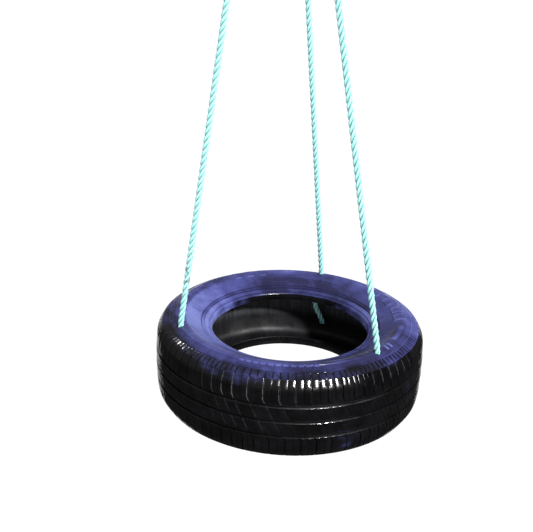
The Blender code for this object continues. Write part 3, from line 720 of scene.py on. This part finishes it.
def wall_tone_and_shading(radius, angles):
    """How light the paint is drawn, from 0 to 1: palest on the left band, and dull at the back's foot.
    It also holds painted light and shade: the left band's paleness, darkened groove rings, and moulded
    lines drawn lighter where raised and darker where sunk.
    """
    inner = 1.0 - step(radius, 0.246, 0.254)
    lip = 1.0 - step(radius, 0.2045, 0.2065)
    groove = (radius > 0.206) * (radius < 0.213)
    near = around(BAND_TONE_AND_LIGHT, angles) + lip * (0.06 + 0.26 * lobe(angles, 20.0, 42.0))
    # Painted shade: the band round the groove rings is darkened, most on the left and at the back right.
    near = near - groove * (0.14 + 0.24 * lobe(angles, 165.0, 45.0) + 0.3 * lobe(angles, 45.0, 50.0))
    near = near + 0.2 * lobe(angles, 90.0, 50.0) * step(radius, 0.238, 0.24)
    far = around(OUTER_TONE, angles)
    far = far - 0.16 * lobe(angles, 75.0, 60.0) * (1.0 - step(radius, 0.256, 0.26))
    for change, bearing, width, start, full in RIM_TONE:
        far = far + change * lobe(angles, bearing, width) * step(radius, start, full)
    tone = inner * near + (1.0 - inner) * far
    # Painted highlight on the raised lines, and painted shade in the sunk ones.
    for outer, inside, rise in WALL_LINES:
        ring = step(radius, inside - 0.0004, inside) * (1 - step(radius, outer, outer + 0.0004))
        tone = tone + ring * (0.14 if rise > 0 else -0.26)
    return tone


def gap_depth(angles):
    """How clean the gaps between the shoulder's bars are: crisp at the right, filled elsewhere."""
    return 0.3 + 0.7 * lobe(angles, 350.0, 62.0)


# Lines moulded round the wall: outer radius, inner radius and rise
WALL_LINES = [
    (0.2878, 0.2852, 0.0009), (0.2712, 0.27, 0.0004), (0.214, 0.212, -0.0013),
    (0.2096, 0.2078, 0.0008), (0.2062, 0.2048, -0.0013), (0.1952, 0.1938, -0.0014),
    (0.192, 0.1911, -0.0009),
]
# The bead below the wall, down to its toe, and the wall's hidden back: radius and height
BEAD_ROWS = [
    (0.1896, 0.0742), (0.1893, 0.0739), (0.1891, 0.0736), (0.1879, 0.0719), (0.1877, 0.0714),
    (0.1876, 0.0702), (0.1871, 0.0699), (0.187, 0.0691), (0.1875, 0.0685), (0.1874, 0.0667),
    (0.1868, 0.0662), (0.1867, 0.0654), (0.1872, 0.0648), (0.187, 0.0618), (0.1867, 0.0585),
    (0.1866, 0.0568), (0.1869, 0.0561), (0.1876, 0.0559),
]
WALL_INSIDE = [
    (0.1925, 0.0562), (0.193, 0.0602), (0.1968, 0.063), (0.197, 0.0719), (0.206, 0.0749),
    (0.2275, 0.0866), (0.2496, 0.1001), (0.2915, 0.0946), (0.3008, 0.0798),
]


def wall_rows():
    """Radii from the shoulder in to the bead's edge, each with its height over the plain wall."""
    rows = {round(r, 4): 0.0 for r in np.arange(0.3046, 0.2876, -0.0022)}
    rows.update({round(r, 4): 0.0 for r in np.arange(0.284, 0.19, -0.0024)})
    for outer, inner, rise in WALL_LINES:
        for radius in list(rows):
            if inner - 0.0009 < radius < outer + 0.0009:
                del rows[radius]
        rows[outer + LINE_EDGE] = 0.0
        rows[outer] = rise
        rows[(outer + inner) / 2] = rise
        rows[inner] = rise
        rows[inner - LINE_EDGE] = 0.0
    ordered = sorted(rows.items(), reverse=True)
    return np.array([r for r, _ in ordered]), np.array([rise for _, rise in ordered])


def serrated(radius):
    """1 where the shoulder's serrations are, falling to 0 at both ends of them."""
    inner, outer = SERRATED
    return step(radius, *inner) * (1 - step(radius, *outer))


def wall_arrays(top, angles):
    """Radius and height of a sidewall's outer rows. The serrations run out at the raised ring."""
    radii, rises = wall_rows()
    plain = wall_height(radii)
    bars = serrated(radii)[:, None]
    notch = step(radii, 0.299, 0.3046)[:, None]
    gaps = WALL_GAPS * gap_depth(angles) * GAP_CUT
    cut = np.maximum(gaps[None] * bars, WALL_SLOTS[None] * notch * NOTCH_CUT)
    slope = np.gradient(plain, radii)
    length = np.sqrt(1 + slope**2)[:, None]
    lift = rises[:, None] - cut
    radius = radii[:, None] - lift * slope[:, None] / length
    radius, height = with_rows(radius, plain[:, None] + lift / length, BEAD_ROWS)
    return radius, height if top else -height, np.r_[radii, [r for r, _ in BEAD_ROWS]]


def make_wall(name, top, node):
    """A sidewall. Only the upper one is painted, and has the rope holes."""
    bearings = WALL_ANGLES + slant(SHOULDER_Z if top else -SHOULDER_Z)
    radius, height, plain_radii = wall_arrays(top, bearings)
    angles = bearings[None] + 0 * radius
    inside = WALL_INSIDE if top else [(r, -z) for r, z in WALL_INSIDE]
    lengths = distances(np.stack([radius[:, PLAIN_COLUMN], height[:, PLAIN_COLUMN]], 1))
    wall = closed_ring(name, radius, height, angles, inside, lengths, turns=WALL_TURNS)
    fix_normals(wall)
    if top:
        place = plain_radii[:, None] + 0 * radius
        bare_gaps = 0.8 * serrated(place) * (WALL_GAPS * gap_depth(bearings))[None]
        add_value(wall, "paint", paint_on_wall(place, angles, height) - bare_gaps)
        # The wall's tone carries painted light and shade as well as the paint's lightness.
        add_value(wall, "tone", wall_tone_and_shading(place, angles))
        drill(wall)
    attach(wall, "swing")
    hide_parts(node)
    return wall


def fix_normals(obj):
    """Turns every face outwards."""
    shape = bmesh.new()
    shape.from_mesh(obj.data)
    store(shape, obj.data)


def drill(obj):
    """Cuts the three rope holes right through."""
    cutters = bmesh.new()
    for which in SIDES:
        place = axes_matrix(hole_place(which), TYRE_UP, (1.0, 0.0, 0.0))
        bmesh.ops.create_cone(
            cutters, cap_ends=True, segments=40, radius1=HOLE_RADIUS, radius2=HOLE_RADIUS,
            depth=DRILL_LENGTH, matrix=place,
        )
    cutter = new_object("drill", store(cutters, bpy.data.meshes.new("drill")))
    cut = obj.modifiers.new("holes", "BOOLEAN")
    cut.operation = "DIFFERENCE"
    cut.object = cutter
    cut.solver = "EXACT"
    graph = bpy.context.evaluated_depsgraph_get()
    done = bpy.data.meshes.new_from_object(obj.evaluated_get(graph))
    obj.modifiers.clear()
    obj.data = done
    bpy.data.objects.remove(cutter, do_unlink=True)
    smooth(done, 30.0)


# The liner's upper half, from the bead to the middle plane: radius and height
LINER_LINE = [
    (0.1946, 0.0562), (0.202, 0.0582), (0.227, 0.0799), (0.25, 0.0957), (0.27, 0.0915),
    (0.2825, 0.0862), (0.2905, 0.0735), (0.2955, 0.05), (0.2978, 0.025), (0.2984, 0.0),
]
LINER_THICKNESS = 0.0014
RIDGE_HEIGHT = 0.00035


def make_liner():
    """The tyre's inside skin, with the fine ridges that its mould leaves from bead to bead."""
    half = smooth_route([(r, 0.0, z) for r, z in LINER_LINE], 0.0065)
    half = np.array([(p.x, p.z) for p in half])
    line = np.concatenate([half, half[-2::-1] * (1, -1)])
    way = unit(np.gradient(line, axis=0))
    normal = np.stack([way[:, 1], -way[:, 0]], 1)
    count = len(ANGLES)
    random = np.random.default_rng(7)
    ridge = np.tile([0.0, 1.0, 0.35], count // 3 + 1)[:count] * random.uniform(0.2, 1.0, count)
    lift = RIDGE_HEIGHT * ridge[None] * np.clip((line[:, 0] - 0.21) / 0.02, 0, 1)[:, None]
    radius = line[:, :1] + normal[:, :1] * lift
    height = line[:, 1:] + normal[:, 1:] * lift
    back = line - normal * LINER_THICKNESS
    even = math.radians(FIRST_PITCH) + 2 * math.pi * np.arange(count) / count
    angles = np.repeat(even[None], len(line), 0)
    liner = closed_ring(
        "ridged_liner", radius, height, angles, back[::-1], distances(line), crease=60.0
    )
    down = np.concatenate([-height, -back[::-1, 1:] + 0 * angles])
    # Painted shade: how far the liner's colour is darkened, from just below the middle plane down.
    add_value(liner, "low", 0.93 * step(down, 0.005, 0.042))
    add_value(liner, "foot", 0.42 * step(down, 0.074, 0.09))
    fix_normals(liner)
    drill(liner)
    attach(liner, "swing")
    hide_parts("inner_liner")
    return liner


MARK_PAINT = 0.98
# Painted highlight: the raised marks are drawn lighter than the wall round them.
MARK_HIGHLIGHT_TONE = 0.55
SKIRT = 0.0006
SKIRT_DROP = -0.001
PATCH_DEPTH = 0.0016


def raised_patch(name, bearing, width, inner, outer, rise, top):
    """A raised bar on a sidewall, between two radii and width metres wide, with sloped sides."""
    middle = (inner + outer) / 2
    radii = np.r_[inner - SKIRT, np.linspace(inner, outer, 5), outer + SKIRT]
    spread = np.linspace(-0.5, 0.5, 7) * width / middle
    spread = np.r_[spread[0] - SKIRT / middle, spread, spread[-1] + SKIRT / middle]
    lift = np.full((len(radii), len(spread)), SKIRT_DROP)
    lift[1:-1, 1:-1] = rise
    places = radii[:, None] + 0 * lift
    plain = wall_height(places)
    sign = 1.0 if top else -1.0
    angles = math.radians(bearing) + spread[None] + 0 * lift
    over = ring_points(places, sign * (plain + lift), angles)
    under = ring_points(places, sign * (plain - PATCH_DEPTH), angles)
    shape = bmesh.new()
    layers = [[[shape.verts.new(p) for p in row] for row in grid] for grid in (over, under)]
    rows, columns = lift.shape
    for grid in layers:
        for i in range(rows - 1):
            for j in range(columns - 1):
                shape.faces.new((grid[i][j], grid[i][j + 1], grid[i + 1][j + 1], grid[i + 1][j]))
    rim = [(0, j) for j in range(columns)] + [(i, columns - 1) for i in range(1, rows)]
    rim += [(rows - 1, j) for j in range(columns - 2, -1, -1)]
    rim += [(i, 0) for i in range(rows - 2, 0, -1)]
    for (i, j), (k, m) in zip(rim, rim[1:] + rim[:1]):
        shape.faces.new((layers[0][i][j], layers[0][k][m], layers[1][k][m], layers[1][i][j]))
    mesh = store(shape, bpy.data.meshes.new(name))
    smooth(mesh, 30.0)
    return new_object(name, mesh)


def raised_marks(top):
    """Generic raised bars in place of lettering: frames, a fine band and a row of pads.

    Each has a bearing in degrees, a width, an inner and an outer radius, and a rise.
    """
    marks = []

    def add(*facts):
        marks.append(raised_patch(f"mark_{len(marks)}", *facts, top=top))

    for bearing, size in ((-0.5, 3.0), (9.0, 2.9), (20.0, 3.2), (33.5, 3.3)):
        for edge in (-size, size):
            add(bearing + edge, 0.0036, 0.246, 0.2745, 0.0013)
        add(bearing, 0.025, 0.246, 0.2494, 0.0013)
        add(bearing, 0.025, 0.2711, 0.2745, 0.0013)
    for i in range(14):
        add(331.5 + 1.25 * i, 0.0028, 0.2585, 0.269, 0.0008)
    for bearing in (321.6, 324.8):
        add(bearing, 0.006, 0.2625, 0.2765, 0.001)
    for i in range(11):
        add(249.0 + 3.35 * i, 0.0105, 0.2708, 0.275, 0.0009)
    for i in range(10):
        add(150.0 + 1.6 * i, 0.0032, 0.26, 0.27, 0.0006)
    for bearing in (108.0, 116.0, 124.0):
        add(bearing, 0.018, 0.247, 0.25, 0.0008)
        add(bearing, 0.018, 0.27, 0.273, 0.0008)
    for bearing in (175.3, 338.3):
        add(bearing, 0.0014, 0.218, 0.239, 0.0007)
    return marks


tread = make_tread()
upper = make_wall("painted_sidewall", True, "sidewall_upper")
lower = make_wall("plain_sidewall", False, "sidewall_lower")
liner = make_liner()
upper_marks = joined("upper_marks", raised_marks(True))
lower_marks = joined("lower_marks", raised_marks(False))
for marks, slot in ((upper_marks, "painted_sidewall"), (lower_marks, "sidewall_rubber")):
    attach(marks, "swing")
for name, amount in (("paint", MARK_PAINT), ("tone", MARK_HIGHLIGHT_TONE)):
    add_value(upper_marks, name, np.full(len(upper_marks.data.vertices), amount))

# Materials

BLACK = (0.0024, 0.0024, 0.0028)
WORN_BLACK = (0.0052, 0.0052, 0.006)
# The pale grey of the painted highlights on the tread's edges.
EDGE_GLINT_COLOUR = (0.2, 0.2, 0.21)
DARK_PAINT = (0.016, 0.015, 0.068)
MIDDLE_PAINT = (0.062, 0.068, 0.255)
LIGHT_PAINT = (0.205, 0.235, 0.59)
PALE_PAINT = (0.22, 0.23, 0.5)
MIDDLE_LEVEL = 0.4
TONE_MOTTLE = 1.8
PAINT_LOSS = 1.2
PAINT_SCRATCHES = 0.55
RUBBER_GLOSS = 0.4
SMUDGE_Z = -1.235
EDGE_RADIUS = 0.0004
EDGE_ANGLE = 35.0


class Look:
    """A material's node tree. make() adds a node: sockets given as keywords are set or linked."""

    def __init__(self, name):
        self.material = bpy.data.materials.new(name)
        self.material.use_nodes = True
        self.tree = self.material.node_tree
        self.shader = self.tree.nodes["Principled BSDF"]

    def make(self, kind, settings=None, **inputs):
        node = self.tree.nodes.new("ShaderNode" + kind)
        for key, value in (settings or {}).items():
            setattr(node, key, value)
        for key, value in inputs.items():
            self.put(node, key.replace("_", " "), value)
        return node

    def put(self, node, key, value):
        socket = node.inputs[int(key[3:])] if key.startswith("in ") else node.inputs[key]
        if isinstance(value, bpy.types.NodeSocket):
            self.tree.links.new(value, socket)
        elif isinstance(value, tuple) and len(value) == 3 and socket.type == "RGBA":
            socket.default_value = (*value, 1.0)
        else:
            socket.default_value = value

    def noise(self, scale, detail=4.0, roughness=0.55, vector=None, distortion=0.0):
        node = self.make("TexNoise", Scale=scale, Detail=detail, Roughness=roughness)
        self.put(node, "Distortion", distortion)
        self.put(node, "Vector", vector or self.place())
        return node.outputs["Fac"]

    def place(self):
        return self.make("TexCoord").outputs["Object"]

    def streaks(self, across, along, detail, roughness):
        """Noise that is stretched along the surface's own two directions."""
        lines = self.make("UVMap", {"uv_map": "polar"}).outputs["UV"]
        node = self.make("Mapping", Vector=lines, Scale=(across, along, 1.0))
        return self.noise(1.0, detail, roughness, node.outputs["Vector"])

    def math(self, operation, a, b=0.0, clamp=False):
        node = self.make("Math", {"operation": operation, "use_clamp": clamp})
        self.put(node, "in 0", a)
        self.put(node, "in 1", b)
        return node.outputs[0]

    def centred(self, value, strength, middle=0.5, clamp=False):
        return self.math("MULTIPLY", self.math("SUBTRACT", value, middle), strength, clamp)

    def band(self, value, low, high, out_low=0.0, out_high=1.0):
        node = self.make("MapRange", {"interpolation_type": "SMOOTHSTEP"}, Value=value)
        keys = ("From Min", "From Max", "To Min", "To Max")
        for key, number in zip(keys, (low, high, out_low, out_high)):
            self.put(node, key, number)
        return node.outputs["Result"]

    def blend(self, share, first, second):
        node = self.make("Mix", {"data_type": "RGBA"})
        self.put(node, "in 0", share)
        self.put(node, "in 6", first)
        self.put(node, "in 7", second)
        return node.outputs[2]

    def value(self, name):
        return self.make("Attribute", {"attribute_name": name}).outputs["Fac"]

    def bump(self, height, strength, distance, under=None):
        node = self.make("Bump", Height=height, Strength=strength, Distance=distance)
        if under is not None:
            self.put(node, "Normal", under)
        return node.outputs["Normal"]

    def finish(self, **inputs):
        for key, value in inputs.items():
            self.put(self.shader, key.replace("_", " "), value)
        return self.material


def tyre_look(name, paint_strength):
    """Black rubber under blue-violet paint that has rubbed off in patches, with painted highlights along
    the tread's edges. The paint value says where the paint lies, and the tone value how light it is
    drawn, painted light and shade included.
    """
    look = Look(name)
    broad = look.noise(9.0, 5.0, 0.62, distortion=0.6)
    cloudy = look.noise(26.0, 4.0, 0.6)
    fine = look.noise(420.0, 3.0, 0.6)
    scratch_and_glint_streaks = look.streaks(26.0, 120.0, 6.0, 0.7)
    rubber = look.blend(look.band(cloudy, 0.35, 0.7), BLACK, WORN_BLACK)
    # Painted highlights: pale lines along the tread's slot and groove edges, broken up by streaks.
    edge_glints = look.math("MULTIPLY", look.value("edge_glints"), look.band(scratch_and_glint_streaks, 0.3, 0.62), clamp=True)
    rubber = look.blend(look.math("MULTIPLY", edge_glints, 0.85), rubber, EDGE_GLINT_COLOUR)
    mottle = look.math("ADD", look.math("MULTIPLY", broad, 0.6), look.math("MULTIPLY", cloudy, 0.4))
    # The tone value holds painted light and shade as well as the paint's own lightness.
    level = look.math("ADD", look.centred(mottle, TONE_MOTTLE), look.value("tone"), clamp=True)
    darker = look.math("MULTIPLY", level, 1.0 / MIDDLE_LEVEL, clamp=True)
    paint = look.blend(darker, DARK_PAINT, MIDDLE_PAINT)
    lighter = look.centred(level, 1.0 / (1.0 - MIDDLE_LEVEL), MIDDLE_LEVEL, clamp=True)
    paint = look.blend(lighter, paint, LIGHT_PAINT)
    paint = look.blend(look.band(fine, 0.48, 0.75, 0.0, 0.12), paint, PALE_PAINT)
    patches = look.math("ADD", look.value("paint"), look.centred(mottle, PAINT_LOSS))
    patches = look.math("ADD", patches, look.centred(scratch_and_glint_streaks, PAINT_SCRATCHES))
    share = look.math("MULTIPLY", look.band(patches, 0.12, 0.78), paint_strength, clamp=True)
    colour = look.blend(share, rubber, paint)
    normal = look.bump(fine, 0.22, 0.0004)
    normal = look.bump(cloudy, 0.25, 0.0015, normal)
    rough = look.band(look.noise(60.0, 3.0), 0.3, 0.7, 0.13, 0.24)
    rough = look.math("ADD", rough, look.math("MULTIPLY", share, 0.14))
    gloss = look.math("SUBTRACT", RUBBER_GLOSS, look.value("dull"))
    return look.finish(Base_Color=colour, Roughness=rough, Normal=normal, Specular_IOR_Level=gloss)


def liner_look():
    """Black rubber, streaked across the tyre, with pale dust patches. Painted light: the streaks are
    drawn in greys far lighter than black rubber, for the shadowed inside. Painted shade: low down the
    colour darkens to near black. It is matt at the foot.
    """
    look = Look("liner_skin")
    streaks = look.streaks(340.0, 9.0, 4.0, 0.6)
    dust = look.noise(30.0, 5.0, 0.65)
    # Painted light: greys much lighter than black rubber, for the shadowed inside.
    colour = look.blend(look.band(streaks, 0.35, 0.7), (0.038, 0.039, 0.046), (0.105, 0.108, 0.122))
    colour = look.blend(look.band(dust, 0.5, 0.75, 0.0, 0.35), colour, (0.12, 0.122, 0.13))
    # Painted shade, darker low down.
    colour = look.blend(look.value("low"), colour, (0.0025, 0.0025, 0.003))
    normal = look.bump(streaks, 0.5, 0.0008)
    rough = look.math("ADD", look.band(dust, 0.3, 0.7, 0.34, 0.5), look.value("foot"))
    gloss = look.math("SUBTRACT", 0.5, look.value("foot"))
    return look.finish(Base_Color=colour, Roughness=rough, Normal=normal, Specular_IOR_Level=gloss)


def rope_look(name, dirty=False):
    """Polypropylene: fine filaments along each yarn, painted pale where the light catches them, and
    painted darker between the strands.
    """
    look = Look(name)
    threads = look.streaks(54.0, 60.0, 3.0, 0.6)
    fibre_glints = look.noise(75.0, 4.0, 0.6)
    colour = look.blend(look.band(threads, 0.3, 0.7), (0.3, 0.72, 0.7), (0.56, 0.94, 0.93))
    # Painted highlights: pale flecks on the filaments.
    colour = look.blend(look.band(fibre_glints, 0.55, 0.8, 0.0, 0.5), colour, (0.68, 0.97, 0.96))
    # Painted shade in the crevices between the strands.
    colour = look.blend(look.math("MULTIPLY", look.value("deep"), 0.8), colour, (0.1, 0.38, 0.36))
    if dirty:
        apart = look.make("SeparateXYZ")
        look.put(apart, "Vector", look.place())
        away = look.math("ABSOLUTE", look.math("SUBTRACT", apart.outputs["Z"], SMUDGE_Z))
        near = look.band(away, 0.03, 0.06, 1.0, 0.0)
        dirt = look.math("MULTIPLY", near, look.band(look.noise(90.0, 3.0), 0.48, 0.62))
        colour = look.blend(look.math("MULTIPLY", dirt, 0.75), colour, (0.13, 0.13, 0.12))
    normal = look.bump(threads, 0.45, 0.0005)
    return look.finish(
        Base_Color=colour, Roughness=0.42, Normal=normal, Specular_IOR_Level=0.45,
        Sheen_Weight=0.15, Sheen_Roughness=0.5,
    )


def metal_look(name, light, dark, roughness, scale, metallic=1.0):
    """Plated steel with a mottled coat, fine scratches and duller patches."""
    look = Look(name)
    mottle = look.noise(scale, 4.0, 0.6)
    fine = look.noise(scale * 14, 3.0, 0.6)
    colour = look.blend(look.band(mottle, 0.38, 0.66), light, dark)
    rough = look.band(mottle, 0.3, 0.7, roughness * 0.8, roughness * 1.3)
    normal = look.bump(fine, 0.12, 0.0003)
    return look.finish(Base_Color=colour, Roughness=rough, Normal=normal, Metallic=metallic)


def set_material(obj, material):
    obj.data.materials.clear()
    obj.data.materials.append(material)


PAINTED = tyre_look("painted_rubber", 1.0)
BARE = tyre_look("bare_rubber", 0.0)
for piece in (upper, upper_marks, tread):
    set_material(piece, PAINTED)
for piece in (lower, lower_marks):
    set_material(piece, BARE)
set_material(liner, liner_look())
CLEAN_ROPE, DIRTY_ROPE = rope_look("aqua_rope"), rope_look("aqua_rope_marked", dirty=True)
for which, pieces in ROPES.items():
    for piece in pieces:
        set_material(piece, DIRTY_ROPE if which == "left" and piece is pieces[0] else CLEAN_ROPE)

METALS = {
    "galvanised_steel": metal_look("galvanised", (0.62, 0.64, 0.65), (0.4, 0.42, 0.44), 0.42, 90.0, 0.6),
    "zinc_steel": metal_look("zinc", (0.76, 0.75, 0.69), (0.56, 0.55, 0.5), 0.28, 160.0, 0.8),
    "bearing_steel": metal_look("polished_steel", (0.66, 0.66, 0.68), (0.5, 0.5, 0.53), 0.16, 200.0),
    "bronze": metal_look("sintered_bronze", (0.6, 0.4, 0.19), (0.38, 0.25, 0.12), 0.38, 220.0),
    "bead_wire": metal_look("bead_wire", (0.5, 0.38, 0.22), (0.3, 0.22, 0.12), 0.35, 220.0),
    "cord_ply": metal_look("cord_ply", (0.035, 0.03, 0.028), (0.018, 0.016, 0.015), 0.75, 120.0, 0.0),
}
PLATED = ("galvanised_steel", "zinc_steel")
for part in frame["record"]["subparts"]:
    if part["material_slot"] in METALS:
        node = frame["nodes"][part["node"]]
        set_material(node, METALS[part["material_slot"]])
        if part["material_slot"] in PLATED:
            edges = node.modifiers.new("edges", "BEVEL")
            edges.width = EDGE_RADIUS
            edges.segments = 2
            edges.limit_method = "ANGLE"
            edges.angle_limit = math.radians(EDGE_ANGLE)
            edges.harden_normals = True

# Floor, light and world
FLOOR_Z = -4.2
SWEEP_RADIUS = 40.0


def make_floor():
    """A pale floor that lights the underside, and a pale sweep behind it that only shows."""
    look = Look("backdrop")
    colour = look.blend(look.noise(0.4), (0.98, 0.98, 0.98), (1.0, 1.0, 1.0))
    look.finish(
        Base_Color=(0.02, 0.02, 0.02), Roughness=0.9, Specular_IOR_Level=0.0,
        Emission_Color=colour, Emission_Strength=1.05,
    )
    flat, dome = bmesh.new(), bmesh.new()
    place = Matrix.Translation((0.0, 0.0, FLOOR_Z))
    bmesh.ops.create_grid(flat, x_segments=8, y_segments=8, size=SWEEP_RADIUS, matrix=place)
    bmesh.ops.create_icosphere(dome, subdivisions=4, radius=SWEEP_RADIUS)
    for name, shape in (("floor", flat), ("sweep", dome)):
        mesh = bpy.data.meshes.new(name)
        shape.to_mesh(mesh)
        shape.free()
        stage = new_object(name, mesh)
        set_material(stage, look.material)
        stage.visible_glossy = False
        stage.visible_shadow = False
        stage.visible_diffuse = name == "floor"


# Name, energy, angle in degrees and the direction that the light comes from
SUNS = [
    ("key", 4.6, 4.5, (0.452, -0.721, 0.526)),
    ("fill", 0.85, 50.0, (-0.06, 0.93, -0.36)),
]
# The world's strength rises with height: from 0.04 a little below the horizon to 0.4 near the top
WORLD = {"From Min": -0.15, "From Max": 0.75, "To Min": 0.04, "To Max": 0.4}


def make_lights():
    for name, energy, angle, source in SUNS:
        sun = bpy.data.lights.new(name, "SUN")
        sun.energy = energy
        sun.angle = math.radians(angle)
        light = new_object(name, sun)
        light.rotation_euler = Vector(source).to_track_quat("Z", "Y").to_euler()
    world = bpy.data.worlds.new("studio")
    world.use_nodes = True
    nodes, links = world.node_tree.nodes, world.node_tree.links
    place = nodes.new("ShaderNodeTexCoord")
    apart = nodes.new("ShaderNodeSeparateXYZ")
    ramp = nodes.new("ShaderNodeMapRange")
    for key, number in WORLD.items():
        ramp.inputs[key].default_value = number
    nodes["Background"].inputs["Color"].default_value = (1.0, 1.0, 1.0, 1.0)
    links.new(place.outputs["Generated"], apart.inputs["Vector"])
    links.new(apart.outputs["Z"], ramp.inputs["Value"])
    links.new(ramp.outputs["Result"], nodes["Background"].inputs["Strength"])
    bpy.context.scene.world = world
    bpy.context.scene.view_settings.view_transform = "Standard"


make_floor()
make_lights()
